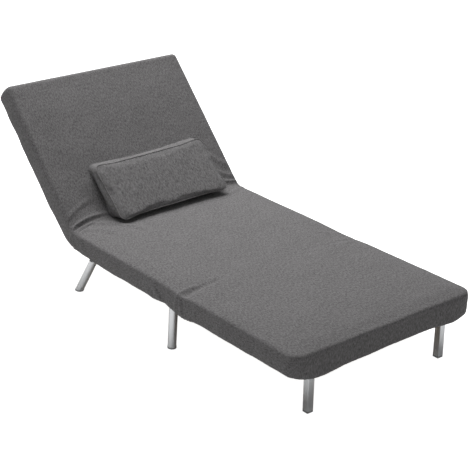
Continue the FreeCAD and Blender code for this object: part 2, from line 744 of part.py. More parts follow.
def sector_outline():
    """The seat plate: an arm along the rail and a round head with one tooth for each click."""
    base = max(ARM_LOW, -ROOT)
    meet = (foot_of_head(ROOT, base), base)
    shoulder = 150
    teeth = [polar(ROOT, FIRST_TOOTH)]
    for index in range(TEETH):
        begin = FIRST_TOOTH + index * PITCH
        teeth.append(polar(TIP, begin + PITCH * 0.86))
        teeth.append(polar(ROOT, begin + PITCH))
    edges = [line((-ARM, base), meet), arc(ROOT, math.degrees(math.asin(base / ROOT)), FIRST_TOOTH)]
    edges += chain(teeth)
    edges.append(arc(ROOT, FIRST_TOOTH + TEETH * PITCH, shoulder))
    edges += chain([polar(ROOT, shoulder), (-ARM * 0.55, ARM_HIGH), (-ARM, ARM_HIGH), (-ARM, base)])
    return edges


def back_plate_outline():
    """The back's plate: an arm along its rail that widens to carry the pawl."""
    head = ROOT + size("ToothDepth / 2")
    base = max(ARM_LOW, -head)
    lead = 80
    up = PAWL[1] + EAR
    corners = [(-foot_of_head(head, base), base), (ARM, base), (ARM, ARM_HIGH), (PAWL[0] + EAR, PAWL[1]),
               (PAWL[0] + EAR, up), (PAWL[0] - EAR, up), polar(head, lead)]
    return chain(corners) + [arc(head, lead, 180 - math.degrees(math.asin(base / head)))]


def pawl_outline():
    """A pawl whose nose points at the tooth gap that holds the back."""
    nose = polar(TIP + size("PawlClearance"), size("PawlLead"))
    heel = polar(TIP + size("PawlClearance * 4"), size("PawlLead") / 2.5)
    top = (PAWL[0], PAWL[1] + HUB)
    low = (PAWL[0], PAWL[1] - HUB)
    return [line(nose, top), arc(HUB, 90, -90, PAWL), line(low, heel), line(heel, nose)]


def spring_outline():
    """A strip spring round the pawl's hub, whose end presses the nose down."""
    thick = size("SpringThickness")
    inner = HUB + size("SoftGap")
    begin, end = -40, 110
    nose = Vector(*polar(TIP + size("PawlClearance"), size("PawlLead")), 0)
    top = Vector(PAWL[0], PAWL[1] + HUB, 0)
    along = (nose - top).normalize()
    rise = Vector(along.y, -along.x, 0) * size("SoftGap")
    rest = top + along * (nose - top).Length * 0.7 + rise
    inside = [PAWL[0] + polar(inner, end)[0], PAWL[1] + polar(inner, end)[1]]
    outside = [PAWL[0] + polar(inner + thick, end)[0], PAWL[1] + polar(inner + thick, end)[1]]
    tip = (rest.x, rest.y)
    tip_top = (rest.x - along.y * -thick, rest.y + along.x * -thick)
    foot_in = (PAWL[0] + polar(inner, begin)[0], PAWL[1] + polar(inner, begin)[1])
    foot_out = (PAWL[0] + polar(inner + thick, begin)[0], PAWL[1] + polar(inner + thick, begin)[1])
    return [arc(inner, begin, end, PAWL), line(inside, tip), line(tip, tip_top), line(tip_top, outside),
            arc(inner + thick, end, begin, PAWL), line(foot_out, foot_in)]


def turned_pin(radius, head_radius, head, start_x, length, y, z, side):
    """A pin across the plates with a head at each end, from an inner face outward."""
    out = Vector(side, 0, 0)
    start = Vector(side * start_x, y, z)
    shank = Part.makeCylinder(radius, length + 2 * head, start - out * head, out)
    inner = hexagon(start - out * head, head_radius * 2, side * head)
    outer = hexagon(start + out * length, head_radius * 2, side * head)
    return shank.fuse([inner, outer]).removeSplitter()


def recliner(side_name, side):
    seat_centre = Vector(side * SEAT_PLATE_X, PIVOT_Y, PIVOT_Z)
    side_plate("ratchet_sector_" + side_name, "seat", sector_outline(), [PIVOT_HOLE],
               "PlateThickness", seat_centre)
    back_centre = Vector(side * BACK_PLATE_X, PIVOT_Y, PIVOT_Z)
    side_plate("recliner_plate_" + side_name, "back", back_plate_outline(), [PIVOT_HOLE, PAWL_HOLE],
               "PlateThickness", back_centre)
    side_plate("ratchet_pawl_" + side_name, "back", pawl_outline(), [PAWL_HOLE], "PlateThickness", seat_centre)
    spring_width = size("PlateThickness / 2")
    spring_x = BACK_PLATE_X + size("PlateThickness / 2") + spring_width / 2
    side_plate("pawl_spring_" + side_name, "back", spring_outline(), [], "PlateThickness / 2",
               Vector(side * spring_x, PIVOT_Y, PIVOT_Z))
    inner_x = BACK_PLATE_X - size("PlateThickness / 2")
    stack = size("2 * PlateThickness + PlateGap")
    bolt = turned_pin(size("PivotBoltSize / 2"), size("PivotBoltSize * 0.9"), size("PivotBoltSize / 2"),
                      inner_x - size("SoftGap / 4"), stack + size("SoftGap / 2"), PIVOT_Y, PIVOT_Z, side)
    fasteners["pivot_bolts"].append(bolt)
    pin = turned_pin(size("PawlPinSize / 2"), size("PawlPinSize * 0.8"), size("PawlPinSize / 4"),
                     inner_x, stack + size("SoftGap / 4"), PIVOT_Y + PAWL[0], PIVOT_Z + PAWL[1], side)
    fasteners["pawl_pins"].append(pin)


fasteners = {"pivot_bolts": [], "pawl_pins": []}
for side_name, side in SIDES:
    recliner(side_name, side)
for name, section in [("pivot_bolts", "seat"), ("pawl_pins", "back")]:
    keep_shape(Part.makeCompound(fasteners[name]), name, section)


# The loose pillow lies on the back, its lower side just above the seat.
def pillow():
    depth = size("PillowDepth")
    bend_y = PIVOT_Y + (TOP - PIVOT_Z) * math.tan(REST / 2)
    low_y = bend_y + size("PillowStart")
    low_x = size("PillowShift - PillowWidth / 2")
    base = TOP + size("Crown + SoftGap")
    levels = [(0, 10), (0.15, 4), (0.45, 0), (0.78, 5), (0.88, 24), (0.95, 48), (1, 82)]
    outlines = []
    for share, inset in levels:
        corner = max(size("PlanCorner") - inset * 0.3, 6)
        outlines.append(rounded_outline(low_x + inset, low_x + size("PillowWidth") - inset, low_y + inset,
                                        low_y + size("PillowHeight") - inset, corner, size("PillowPull"),
                                        base + share * depth))
    keep_shape(stacked(outlines), "lumbar_pillow", "back")


pillow()

doc.recompute()
for piece in doc.Objects:
    if "Invalid" in piece.State or "Error" in piece.State:
        raise RuntimeError("%s failed: %s" % (piece.Label, piece.State))
os.makedirs("parts", exist_ok=True)
for piece in nodes:
    if piece.Shape.isNull() or not piece.Shape.isValid():
        raise RuntimeError("%s has no valid shape" % piece.Label)
    piece.Shape.exportStep(os.path.join("parts", piece.Label + ".step"))
print("nodes", len(nodes))
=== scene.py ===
import json
import math

import bpy
import numpy as np
from mathutils import Matrix, Vector


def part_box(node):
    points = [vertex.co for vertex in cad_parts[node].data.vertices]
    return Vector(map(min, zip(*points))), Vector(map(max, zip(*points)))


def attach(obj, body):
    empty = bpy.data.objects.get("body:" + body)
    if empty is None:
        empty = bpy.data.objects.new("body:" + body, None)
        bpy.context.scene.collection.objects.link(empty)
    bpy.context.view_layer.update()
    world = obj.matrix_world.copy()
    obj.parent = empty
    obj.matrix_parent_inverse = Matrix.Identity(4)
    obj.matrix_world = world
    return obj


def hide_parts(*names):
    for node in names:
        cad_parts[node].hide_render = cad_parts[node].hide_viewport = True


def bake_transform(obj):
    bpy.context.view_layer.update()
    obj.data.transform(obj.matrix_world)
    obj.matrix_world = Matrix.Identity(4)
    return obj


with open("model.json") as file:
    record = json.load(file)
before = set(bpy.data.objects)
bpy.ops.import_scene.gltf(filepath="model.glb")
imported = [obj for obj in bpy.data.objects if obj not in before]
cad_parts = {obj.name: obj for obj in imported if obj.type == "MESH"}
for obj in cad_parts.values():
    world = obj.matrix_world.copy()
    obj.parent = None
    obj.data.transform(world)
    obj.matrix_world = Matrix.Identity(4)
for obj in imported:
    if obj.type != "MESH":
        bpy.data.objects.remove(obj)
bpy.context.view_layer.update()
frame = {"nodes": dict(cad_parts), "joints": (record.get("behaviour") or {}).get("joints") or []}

# Places in metres, read from the frame. "Reach" runs along the flat bed from its foot edge.
JOINTS = {joint["name"]: joint for joint in frame["joints"]}
COVER_LOW, COVER_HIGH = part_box("foot_cover")
PILLOW_LOW, PILLOW_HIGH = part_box("lumbar_pillow")
SLATS_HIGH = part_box("seat_slats")[1]
FRONT_Y = COVER_LOW[1]
HALF = COVER_HIGH[0]
HEM = COVER_LOW[2]
CREST = COVER_HIGH[2]
CROWN = 0.006
TOP = CREST - CROWN
PIVOT_Y, PIVOT_Z = JOINTS["back_recline"]["pos_m"][1:]
HINGE_Y, HINGE_Z = JOINTS["foot_fold"]["pos_m"][1:]
pivot = Vector((0, PIVOT_Y, PIVOT_Z))
PIVOT_REACH = PIVOT_Y - FRONT_Y
HINGE_REACH = HINGE_Y - FRONT_Y
REST = -math.radians(JOINTS["back_recline"]["range_deg"][0])
LENGTH = 1.894

# The cover's roundings, its turned-in hem and the elastic along it.
CORNER = 0.020
TOP_ROUND = 0.017
HEM_ROUND = 0.009
WRAP = 0.018
ELASTIC = 0.0028

# How finely the cover is meshed, and how much finer it is near the two joints.
CELL = 0.0085
FINE_SHARE = 0.45
FINE_ROOM = 0.05
FINE_AHEAD = 0.01
FAN = 6

# Where the cover is cut in two.
SEAM_REACH = 0.90

TINY = 1e-9
WHITE = (1, 1, 1, 1)


# Materials.
def new_group(name, inputs, outputs):
    group = bpy.data.node_groups.new(name, "ShaderNodeTree")
    for label, kind, value in inputs:
        socket = group.interface.new_socket(label, in_out="INPUT", socket_type=kind)
        if value is not None:
            socket.default_value = value
    for label, kind in outputs:
        group.interface.new_socket(label, in_out="OUTPUT", socket_type=kind)
    return group, group.nodes.new("NodeGroupInput"), group.nodes.new("NodeGroupOutput")


def add(tree, kind, links=(), **values):
    """A node with its inputs linked or set; names with an underscore in front are the node's own."""
    node = tree.nodes.new(kind)
    for name, value in values.items():
        if name.startswith("_"):
            setattr(node, name[1:], value)
    for name, value in values.items():
        if not name.startswith("_"):
            node.inputs[name].default_value = value
    for name, source in links:
        tree.links.new(source, node.inputs[name])
    return node


def mixed(tree, factor, first, second):
    """The output of a colour mix, each of whose ends is a colour or another node's output."""
    node = add(tree, "ShaderNodeMix", [("Factor", factor)], _data_type="RGBA")
    ends = [socket for socket in node.inputs if socket.type == "RGBA"]
    for socket, end in zip(ends, (first, second)):
        if isinstance(end, bpy.types.NodeSocket):
            tree.links.new(end, socket)
        else:
            socket.default_value = end
    return next(socket for socket in node.outputs if socket.type == "RGBA")


# Layers of the marl cloth: repeats to the metre, and how far each shifts the shade.
THREADS = 620.0
YARNS = 260.0
SLUBS = 210.0
PATCHES = 9.0
YARN_STRETCH = 0.45
YARN_RANGE = (0.30, 0.70)
PATCH_SHIFT = 0.10
SLUB_SHIFT = 0.55
WEAVE_SHIFT = 0.35


def marl_group():
    """Heathered cloth: a tight twill, mottled yarn and slow patches, laid along the cloth."""
    group, given, out = new_group(
        "marl_cloth",
        [("Place", "NodeSocketVector", None), ("Dark", "NodeSocketColor", (0.1, 0.1, 0.1, 1)),
         ("Light", "NodeSocketColor", (0.2, 0.2, 0.2, 1)), ("Threads", "NodeSocketFloat", THREADS),
         ("Mottle", "NodeSocketFloat", YARNS)],
        [("Color", "NodeSocketColor"), ("Height", "NodeSocketFloat"), ("Nap", "NodeSocketFloat")])
    place = given.outputs["Place"]
    threads = ("Scale", given.outputs["Threads"])
    stretch = add(group, "ShaderNodeVectorMath", [(0, place)], _operation="MULTIPLY")
    stretch.inputs[1].default_value = (1.0, YARN_STRETCH, 1.0)
    drawn = ("Vector", stretch.outputs[0])

    yarn = add(group, "ShaderNodeTexNoise", [drawn, ("Scale", given.outputs["Mottle"])],
               Detail=3.0, Roughness=0.7)
    patches = add(group, "ShaderNodeTexNoise", [("Vector", place)], Scale=PATCHES, Detail=2.0)
    slub = add(group, "ShaderNodeTexNoise", [drawn], Scale=SLUBS, Detail=2.0)
    warp = add(group, "ShaderNodeTexWave", [("Vector", place), threads],
               _wave_type="BANDS", _bands_direction="X", Distortion=1.2, Detail=1.0)
    twill = add(group, "ShaderNodeTexWave", [("Vector", place), threads],
                _wave_type="BANDS", _bands_direction="DIAGONAL", Distortion=0.8, Detail=1.0)
    weave = add(group, "ShaderNodeMath", [(0, warp.outputs["Fac"]), (1, twill.outputs["Fac"])],
                _operation="MULTIPLY")

    spread = add(group, "ShaderNodeMapRange", [("Value", yarn.outputs["Fac"])],
                 **{"From Min": YARN_RANGE[0], "From Max": YARN_RANGE[1]})
    slow = add(group, "ShaderNodeMapRange", [("Value", patches.outputs["Fac"])],
               **{"To Min": -PATCH_SHIFT, "To Max": PATCH_SHIFT})
    slubs = add(group, "ShaderNodeMapRange", [("Value", slub.outputs["Fac"])],
                **{"To Min": -SLUB_SHIFT, "To Max": SLUB_SHIFT})
    first = add(group, "ShaderNodeMath", [(0, spread.outputs[0]), (1, slow.outputs[0])], _operation="ADD")
    second = add(group, "ShaderNodeMath", [(0, first.outputs[0]), (1, slubs.outputs[0])], _operation="ADD")
    shade = add(group, "ShaderNodeMath", [(0, weave.outputs[0]), (2, second.outputs[0])],
                _operation="MULTIPLY_ADD")
    shade.inputs[1].default_value = WEAVE_SHIFT

    colour = mixed(group, shade.outputs[0], given.outputs["Dark"], given.outputs["Light"])
    group.links.new(colour, out.inputs["Color"])
    group.links.new(weave.outputs[0], out.inputs["Height"])
    group.links.new(spread.outputs[0], out.inputs["Nap"])
    return group


def wear_group():
    """Slow unevenness and fine brushing for hard surfaces."""
    group, given, out = new_group(
        "surface_wear",
        [("Scale", "NodeSocketFloat", 30.0), ("Low", "NodeSocketFloat", 0.3),
         ("High", "NodeSocketFloat", 0.5)],
        [("Roughness", "NodeSocketFloat"), ("Height", "NodeSocketFloat"), ("Mask", "NodeSocketFloat")])
    place = add(group, "ShaderNodeTexCoord")
    slow = add(group, "ShaderNodeTexNoise",
               [("Vector", place.outputs["Object"]), ("Scale", given.outputs["Scale"])], Detail=4.0)
    fine = add(group, "ShaderNodeTexNoise", [("Vector", place.outputs["Object"])], Scale=900.0, Detail=2.0)
    rough = add(group, "ShaderNodeMapRange",
                [("Value", slow.outputs["Fac"]), ("To Min", given.outputs["Low"]),
                 ("To Max", given.outputs["High"])])
    group.links.new(rough.outputs[0], out.inputs["Roughness"])
    group.links.new(fine.outputs["Fac"], out.inputs["Height"])
    group.links.new(slow.outputs["Fac"], out.inputs["Mask"])
    return group


MARL = marl_group()
WEAR = wear_group()


def new_material(name):
    material = bpy.data.materials.new(name)
    material.use_nodes = True
    tree = material.node_tree
    return material, tree, tree.nodes["Principled BSDF"]


def grouped(tree, group, **values):
    """A shared effect placed in a material."""
    node = tree.nodes.new("ShaderNodeGroup")
    node.node_tree = group
    for name, value in values.items():
        node.inputs[name].default_value = value
    return node


def cloth_material(name, dark, light):
    """Marl grey cloth with a soft nap at grazing angles."""
    material, tree, shader = new_material(name)
    place = add(tree, "ShaderNodeAttribute", _attribute_name="cloth_place")
    cloth = grouped(tree, MARL, Dark=(*dark, 1), Light=(*light, 1))
    tree.links.new(place.outputs["Vector"], cloth.inputs["Place"])
    tree.links.new(cloth.outputs["Color"], shader.inputs["Base Color"])
    bump = add(tree, "ShaderNodeBump", [("Height", cloth.outputs["Height"])],
               Strength=0.25, Distance=0.0006)
    nap = add(tree, "ShaderNodeBump",
              [("Height", cloth.outputs["Nap"]), ("Normal", bump.outputs["Normal"])],
              Strength=0.35, Distance=0.0008)
    tree.links.new(nap.outputs["Normal"], shader.inputs["Normal"])
    shader.inputs["Roughness"].default_value = 0.92
    shader.inputs["Specular IOR Level"].default_value = 0.22
    shader.inputs["Sheen Weight"].default_value = 0.10
    shader.inputs["Sheen Roughness"].default_value = 0.45
    return material


def hard_material(name, colour, other, rough, metallic=0.0, scale=30.0, grain=0.1):
    """A hard surface with slow colour change, uneven gloss and a fine texture."""
    material, tree, shader = new_material(name)
    wear = grouped(tree, WEAR, Scale=scale, Low=rough[0], High=rough[1])
    shade = mixed(tree, wear.outputs["Mask"], (*colour, 1), (*other, 1))
    tree.links.new(shade, shader.inputs["Base Color"])
    tree.links.new(wear.outputs["Roughness"], shader.inputs["Roughness"])
    bump = add(tree, "ShaderNodeBump", [("Height", wear.outputs["Height"])],
               Strength=grain, Distance=0.0004)
    tree.links.new(bump.outputs["Normal"], shader.inputs["Normal"])
    shader.inputs["Metallic"].default_value = metallic
    return material


def wood_material(name, pale, deep):
    """Beech: long grain across the bed and fine pores."""
    material, tree, shader = new_material(name)
    place = add(tree, "ShaderNodeTexCoord")
    stretch = add(tree, "ShaderNodeMapping", [("Vector", place.outputs["Object"])],
                  Scale=(1.2, 22.0, 22.0))
    drawn = ("Vector", stretch.outputs[0])
    rings = add(tree, "ShaderNodeTexNoise", [drawn], Scale=3.0, Detail=5.0, Distortion=0.6)
    fine = add(tree, "ShaderNodeTexNoise", [drawn], Scale=40.0, Detail=3.0)
    shade = mixed(tree, rings.outputs["Fac"], (*deep, 1), (*pale, 1))
    tree.links.new(shade, shader.inputs["Base Color"])
    bump = add(tree, "ShaderNodeBump", [("Height", fine.outputs["Fac"])], Strength=0.2, Distance=0.0004)
    tree.links.new(bump.outputs["Normal"], shader.inputs["Normal"])
    shader.inputs["Roughness"].default_value = 0.5
    return material


COVER_CLOTH = cloth_material("marl_cover", (0.088, 0.085, 0.086), (0.262, 0.255, 0.257))
# The pillow's marl is the cover's, painted lighter to make up for the shade that falls on the pillow:
# painted light.
PILLOW_CLOTH_PAINTED_LIGHT = cloth_material("marl_pillow", (0.090, 0.088, 0.089), (0.275, 0.268, 0.270))
# The piping is the cover's marl painted lighter: a painted highlight along the pillow's seams.
PIPING_PAINTED_HIGHLIGHT = cloth_material("marl_piping", (0.130, 0.127, 0.128), (0.340, 0.332, 0.334))
LINING = hard_material("foam_lining", (0.62, 0.58, 0.50), (0.74, 0.70, 0.62), rough=(0.85, 0.95),
                       scale=40.0, grain=0.5)
LEG_STEEL = hard_material("satin_leg_steel", (0.82, 0.84, 0.86), (0.90, 0.91, 0.92), rough=(0.24, 0.36),
                          metallic=1.0)
FRAME_STEEL = hard_material("dark_frame_steel", (0.035, 0.036, 0.038), (0.055, 0.056, 0.058),
                            rough=(0.4, 0.6), metallic=0.2, grain=0.4)
ZINC = hard_material("zinc_fittings", (0.50, 0.51, 0.50), (0.66, 0.66, 0.62), rough=(0.32, 0.5),
                     metallic=0.95, scale=60.0)
SPRING = hard_material("spring_steel", (0.30, 0.30, 0.31), (0.42, 0.42, 0.44), rough=(0.25, 0.35),
                       metallic=1.0)
FOOT_PLASTIC = hard_material("foot_plastic", (0.46, 0.465, 0.47), (0.54, 0.545, 0.55), rough=(0.45, 0.6),
                             scale=50.0, grain=0.3)
CLIP_PLASTIC = hard_material("clip_plastic", (0.03, 0.03, 0.03), (0.05, 0.05, 0.05), rough=(0.45, 0.6),
                             scale=50.0, grain=0.3)
BEECH = wood_material("beech_slats", (0.66, 0.48, 0.29), (0.50, 0.33, 0.18))

# Finishes by a word in the node's name; the first row that matches counts.
NODE_FINISHES = [
    ("leg_foot", FOOT_PLASTIC), ("leg_bracket", ZINC), ("leg_bolts", ZINC), ("slat_clips", CLIP_PLASTIC),
    ("slats", BEECH), ("spring", SPRING), ("sector", ZINC), ("pawl", ZINC), ("plate", ZINC), ("leaf", ZINC),
    ("pins", ZINC), ("bolts", ZINC), ("rail", FRAME_STEEL), ("tube", FRAME_STEEL), ("_leg_", LEG_STEEL),
]
for node_name, node in frame["nodes"].items():
    finish = next((material for word, material in NODE_FINISHES if word in node_name), LINING)
    node.data.materials.clear()
    node.data.materials.append(finish)


# The cover, first laid out flat as rings round a plain rectangle.
def spaced(start, end, coarse, fine, centres, reach):
    """Places from start to end, closer together near the centres."""
    places = [start]
    while places[-1] < end:
        near = max(math.exp(-((places[-1] - centre) / reach) ** 2) for centre in centres)
        places.append(places[-1] + coarse + (fine - coarse) * near)
    scale = (end - start) / (places[-1] - start)
    return np.array([start + (place - start) * scale for place in places])


def edge_profile():
    """Outward reach and height of each ring, from the flat top round to the elastic under the frame."""
    rings = [(CORNER - TOP_ROUND, TOP)]
    for angle in np.radians([15, 30, 45, 60, 75, 90]):
        rings.append((CORNER - TOP_ROUND * (1 - math.sin(angle)), TOP - TOP_ROUND * (1 - math.cos(angle))))
    low, high = HEM + HEM_ROUND, TOP - TOP_ROUND
    for share in np.linspace(0, 1, 8)[1:]:
        rings.append((CORNER, high + (low - high) * share))
    for angle in np.radians([30, 60, 90]):
        rings.append((CORNER - HEM_ROUND * (1 - math.cos(angle)), low - HEM_ROUND * math.sin(angle)))
    for share in (0.33, 0.66, 1.0):
        rings.append((CORNER - HEM_ROUND - WRAP * share, HEM))
    middle = (CORNER - HEM_ROUND - WRAP, HEM + ELASTIC)
    for angle in np.radians([60, 120, 180, 240, 300]):
        rings.append((middle[0] - ELASTIC * math.sin(angle), middle[1] - ELASTIC * math.cos(angle)))
    return rings


def flat_cover():
    """Flat-bed points, the cloth's own coordinates, how far each is down the edge, and the faces."""
    xs = spaced(-HALF + CORNER, HALF - CORNER, CELL, CELL, [0], 1)
    joints = [PIVOT_REACH, HINGE_REACH + FINE_AHEAD]
    ys = spaced(CORNER, LENGTH - CORNER, CELL, CELL * FINE_SHARE, joints, FINE_ROOM)
    nx, ny = len(xs), len(ys)
    grid = np.array([(x, y, TOP) for y in ys for x in xs])
    faces = [(j * nx + i, j * nx + i + 1, (j + 1) * nx + i + 1, (j + 1) * nx + i)
             for j in range(ny - 1) for i in range(nx - 1)]
    sides = [(list(range(nx)), -90), ([j * nx + nx - 1 for j in range(ny)], 0),
             ([(ny - 1) * nx + i for i in reversed(range(nx))], 90),
             ([j * nx for j in reversed(range(ny))], 180)]
    base, turns = [], []
    for indices, degrees in sides:
        base += indices
        turns += [degrees] * len(indices)
        for step in range(1, FAN):
            base.append(indices[-1])
            turns.append(degrees + 90 * step / FAN)
    base = np.array(base)
    angles = np.radians(turns)
    outward = np.stack([np.cos(angles), np.sin(angles), np.zeros(len(angles))], axis=1)
    points, cloth, down = [grid], [grid.copy()], [np.zeros(len(grid))]
    count = len(base)
    lengths, last = 0.0, (0.0, TOP)
    for out, height in edge_profile():
        lengths += math.hypot(out - last[0], height - last[1])
        last = (out, height)
        ring = grid[base] + outward * out
        ring[:, 2] = height
        points.append(ring)
        cloth.append(grid[base] + outward * lengths)
        down.append(np.full(count, lengths))
    first = len(grid)
    rings = len(points) - 1
    for ring in range(rings):
        for here in range(count):
            ahead = (here + 1) % count
            outer = (first + ring * count + here, first + ring * count + ahead)
            if ring:
                inner = (first + (ring - 1) * count + here, first + (ring - 1) * count + ahead)
                faces.append((inner[0], outer[0], outer[1], inner[1]))
            elif base[here] == base[ahead]:
                faces.append((base[here], outer[0], outer[1]))
            else:
                faces.append((base[here], outer[0], outer[1], base[ahead]))
    outs = np.concatenate([np.zeros((len(grid), 3)), np.tile(outward, (rings, 1))])
    return np.concatenate(points), np.concatenate(cloth), np.concatenate(down), outs, faces


def smooth(value):
    value = np.clip(value, 0, 1)
    return value * value * (3 - 2 * value)


def ramp(value, start, run):
    return smooth((value - start) / run)


def bell(value, centre, width):
    return np.exp(-((value - centre) / width) ** 2)


def bells(value, rows):
    """Several rounded humps, each given by its centre, width and height."""
    return sum(height * bell(value, centre, width) for centre, width, height in rows)


# Waves in one slow random relief, and what their sum is divided by.
WAVES = 14
WAVE_SHARE = 5.3


def soft_noise(places, scale, seed):
    """Slow random relief from a few seeded waves."""
    chance = np.random.default_rng(seed)
    total = np.zeros(len(places))
    for _ in range(WAVES):
        heading = chance.uniform(0, 2 * math.pi)
        pitch = scale * chance.uniform(0.6, 1.6)
        phase = chance.uniform(0, 2 * math.pi)
        along = places[:, 0] * math.cos(heading) + places[:, 1] * math.sin(heading)
        total += np.sin(2 * math.pi * pitch * along + phase)
    return total / WAVE_SHARE


def uneven(places, rows):
    """Layers of slow random relief, each given by its height, waves to the metre and seed."""
    return sum(height * soft_noise(places, scale, seed) for height, scale, seed in rows)


# A ridge's bow and tapers as shares of its length, and the hollow beside it as shares of the ridge.
FOLD_BOW = 0.08
FOLD_OVERRUN = 0.05
FOLD_RISE = 0.25
FOLD_FALL = 0.55
HOLLOW_DEPTH = 0.35
HOLLOW_PLACE = 1.9


def fold(cloth, start, end, width, height):
    """A soft ridge along a line on the cloth with a shallow hollow beside it."""
    start, end = np.array(start), np.array(end)
    along = end - start
    span = np.linalg.norm(along)
    along = along / span
    across = np.array([-along[1], along[0]])
    offset = cloth[:, :2] - start
    run = offset @ along / span
    bow = FOLD_BOW * span * np.sin(np.clip(run, 0, 1) * math.pi)
    side = offset @ across - bow
    taper = ramp(run, -FOLD_OVERRUN, FOLD_RISE) * ramp(-run, -1 - FOLD_OVERRUN, FOLD_FALL)
    hollow = HOLLOW_DEPTH * bell(side, -HOLLOW_PLACE * width, width)
    return height * taper * (bell(side, 0, width) - hollow)


# Ridges of loose cloth: where each starts and ends on the cloth, its width and its height.
NEAR_FOLDS = [
    ((-0.45, 1.180), (-0.27, 1.262), 0.0090, 0.0060),
    ((-0.31, 1.252), (-0.165, 0.995), 0.0100, 0.0042),
    ((-0.46, 1.140), (-0.325, 1.225), 0.0090, 0.0055),
    ((-0.36, 1.212), (-0.27, 1.050), 0.0100, 0.0034),
    ((-0.44, 1.215), (-0.33, 1.290), 0.0080, 0.0055),
    ((-0.38, 1.272), (-0.20, 1.288), 0.0090, 0.0050),
    ((-0.42, 1.296), (-0.23, 1.380), 0.0080, 0.0036),
    ((-0.47, 1.235), (-0.41, 1.245), 0.0055, 0.0040),
    ((-0.47, 1.205), (-0.41, 1.220), 0.0055, 0.0040),
]
FAR_FOLDS = [
    ((0.43, 1.240), (0.21, 1.150), 0.0080, 0.0040),
    ((0.42, 1.275), (0.24, 1.335), 0.0080, 0.0045),
    ((0.41, 1.300), (0.20, 1.470), 0.0090, 0.0035),
    ((0.42, 1.345), (0.24, 1.545), 0.0100, 0.0028),
    ((0.40, 0.640), (0.26, 0.715), 0.0110, 0.0035),
    ((0.40, 0.560), (0.27, 0.540), 0.0110, 0.0035),
]
HINGE_FOLDS = [
    ((-0.43, 0.585), (-0.30, 0.571), 0.0070, 0.0040),
    ((-0.47, 0.560), (-0.38, 0.572), 0.0060, 0.0040),
    ((-0.48, 0.600), (-0.39, 0.580), 0.0060, 0.0035),
    ((-0.48, 0.672), (-0.40, 0.730), 0.0075, 0.0045),
    ((-0.49, 0.700), (-0.42, 0.790), 0.0070, 0.0030),
    ((-0.48, 0.530), (-0.41, 0.470), 0.0070, 0.0030),
]

# How far down the edge the top's relief fades out, and where the sides' begins.
TOP_FADE = 0.035
SIDE_START = 0.02
SIDE_RUN = 0.02

# How squarely the edge faces an axis to count as that side, in the sides' relief and in the drops.
FACING = 0.9
TOWARDS = 0.5

# Round plan corners at the foot end, the crown's rise in from the edge, and the softer shoulder of
# the foot section and seat, which fades out along the seat.
FRONT_CORNER = 0.045
CORNER_POWER = 6
CROWN_RUN = 0.17
SHOULDER = 0.007
SHOULDER_RUN = 0.06
SHOULDER_END = (1.15, 0.3)

# Hollows of the top, as rows of reach, width and depth, and where each sets in across the bed.
CREASE_REACH = HINGE_REACH + 0.014
CREASE_DIPS = [(CREASE_REACH, 0.011, 0.0055), (CREASE_REACH, 0.045, 0.0030)]
CREASE_NEAR = (0.20, 0.15)
CREASE_FAR = (0.26, 0.12)
CREASE_FAR_SHARE = 0.5
CREASE_LEAST = 0.08
FAR_SAG = [(0.625, 0.085, 0.012)]
FAR_SAG_FROM = (0.24, 0.16)
NEAR_SAG = [(0.60, 0.07, 0.004)]
NEAR_SAG_FROM = (0.30, 0.1)
PILLOW_DENT = [(1.345, 0.06, 0.008)]
PILLOW_DENT_PLACE = (-0.262, 0.05)

# The sides: drawn in at their middle, full at half height, and how far the hem drops.
SIDE_PULL = 0.003
SIDE_FULL = 0.0025
DROP_START = TOP - 0.03
FRONT_DROP = 0.010
FRONT_DROP_HALF = 0.39
FRONT_DROP_RUN = 0.08
FRONT_DROPS = [(-0.27, 0.08, 0.010), (-0.10, 0.08, 0.003), (0.31, 0.07, 0.008), (0.12, 0.06, -0.002)]
SIDE_DROPS = [(0.570, 0.055, 0.012), (0.672, 0.018, -0.005), (0.40, 0.2, 0.003), (0.95, 0.15, 0.002)]
FAR_DROP_SHARE = 0.6

# Gathers along the elastic: pitch, height, outward share, and the place where they are strongest.
GATHER_PITCH = 0.0145
GATHER_HEIGHT = 0.0008
GATHER_OUT = 0.8
GATHER_BUNCH = [(0.60, 0.07, 0.0024)]
GATHER_TOP = 0.016
GATHER_RUN = 0.014

# Unevenness, as rows of height, waves to the metre and seed.
TOP_UNEVEN = [(0.0011, 4.5, 3), (0.0005, 13, 5)]
SIDE_UNEVEN = [(0.0013, 7, 11), (0.0005, 22, 12)]
GATHER_UNEVEN = [(2.2, 9, 21)]
PAD_UNEVEN = [(0.0006, 12, 31)]
PILLOW_UNEVEN = [(0.0007, 16, 41)]


def round_front(moved, x, y):
    """Draws the foot end's corners in to a larger radius."""
    over_x = np.maximum(np.abs(x) - (HALF - FRONT_CORNER), 0)
    over_y = np.maximum(FRONT_CORNER - y, 0)
    plain = np.maximum(np.hypot(over_x, over_y), TINY)
    full = (over_x ** CORNER_POWER + over_y ** CORNER_POWER) ** (1 / CORNER_POWER)
    grow = np.where((over_x > 0) & (over_y > 0), full / plain, 1)
    moved[:, 0] -= np.sign(x) * over_x * (1 - grow)
    moved[:, 1] += over_y * (1 - grow)


def top_relief(x, y, cloth):
    """Crown, shoulders, the crease over the foot hinge, sag and slow unevenness of the top."""
    edge = np.minimum(np.minimum(x + HALF, HALF - x), np.minimum(y, LENGTH - y))
    rise = CROWN * smooth(edge / CROWN_RUN)
    rise = rise - bells(y, CREASE_DIPS) * (
        ramp(-x, *CREASE_NEAR) + CREASE_FAR_SHARE * ramp(x, *CREASE_FAR) + CREASE_LEAST)
    rise = rise - ramp(x, *FAR_SAG_FROM) * bells(y, FAR_SAG)
    rise = rise - ramp(-x, *NEAR_SAG_FROM) * bells(y, NEAR_SAG)
    rise = rise - bell(x, *PILLOW_DENT_PLACE) * bells(y, PILLOW_DENT)
    rise = rise - SHOULDER * (1 - smooth(edge / SHOULDER_RUN)) * (1 - ramp(y, *SHOULDER_END))
    return rise + uneven(cloth, TOP_UNEVEN)


